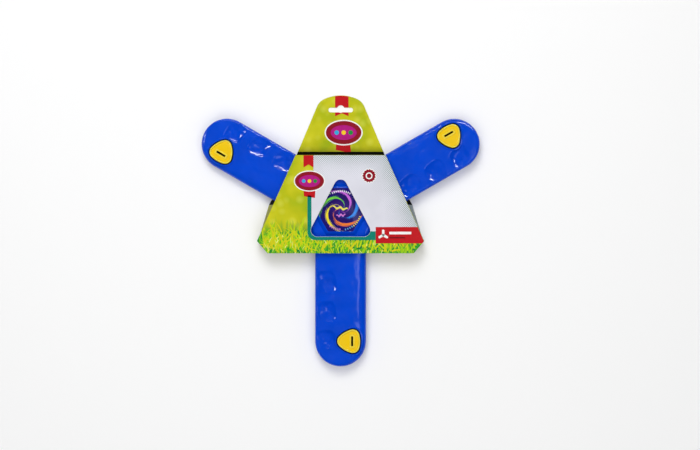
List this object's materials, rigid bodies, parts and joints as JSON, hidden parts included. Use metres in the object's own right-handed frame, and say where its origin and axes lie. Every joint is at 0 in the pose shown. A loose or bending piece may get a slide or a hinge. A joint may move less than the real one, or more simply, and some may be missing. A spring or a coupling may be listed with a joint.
{
  "type": "toy boomerang",
  "caption": "Hollow plastic whistling throwing toy with radial blades, lying in a folded card display sleeve with a window and a hang slot.",
  "frame": {"origin": "where the toy's hub axis meets the back face of the card sleeve", "axes": "+Z out of the front face, +Y towards the hang slot in the header, one blade along -Y, +X to the right seen from the front"},
  "size_m": [0.2788, 0.2725, 0.0225],
  "materials": {
    "blue_plastic": "glossy moulded",
    "yellow_plastic": "glossy moulded",
    "black_plastic": "matte moulded",
    "label_paper": "gloss printed",
    "zinc_steel": "zinc plated",
    "printed_card": "gloss printed",
    "plain_card": "uncoated"
  },
  "bodies": {
    "sleeve_back": {"back_card": "printed_card", "header_card": "printed_card"},
    "sleeve_flap": {"front_panel": "printed_card", "top_return": "printed_card", "side_wall_right": "printed_card", "side_wall_left": "printed_card", "corner_wall_right": "printed_card", "corner_wall_left": "printed_card", "bottom_wall_right": "printed_card", "bottom_wall_left": "printed_card", "glue_flap_side_right": "plain_card", "glue_flap_side_left": "plain_card", "glue_flap_bottom_right": "plain_card", "glue_flap_bottom_left": "plain_card"},
    "boomerang": {"upper_shell": "blue_plastic", "lower_shell": "blue_plastic", "hub_label": "label_paper", "shell_screws": "zinc_steel", "whistle_cap_1": "yellow_plastic", "whistle_cap_2": "yellow_plastic", "whistle_cap_3": "yellow_plastic", "whistle_chamber_1": "black_plastic", "whistle_chamber_2": "black_plastic", "whistle_chamber_3": "black_plastic"}
  },
  "joints": [
    {"name": "flap_fold", "type": "hinge", "parent": "sleeve_back", "child": "sleeve_flap", "pos_m": [0, 0.0548, 0.001], "axis": [-1, 0, 0], "range_deg": [0, 90]},
    {"name": "boomerang_lift", "type": "slide", "parent": "sleeve_back", "child": "boomerang", "axis": [0, 0, 1], "range_m": [0, 0.0225]}
  ],
  "couplings": [
    {"joint": "boomerang_lift", "follows": "flap_fold", "m_per_rad": 0.0143}
  ]
}
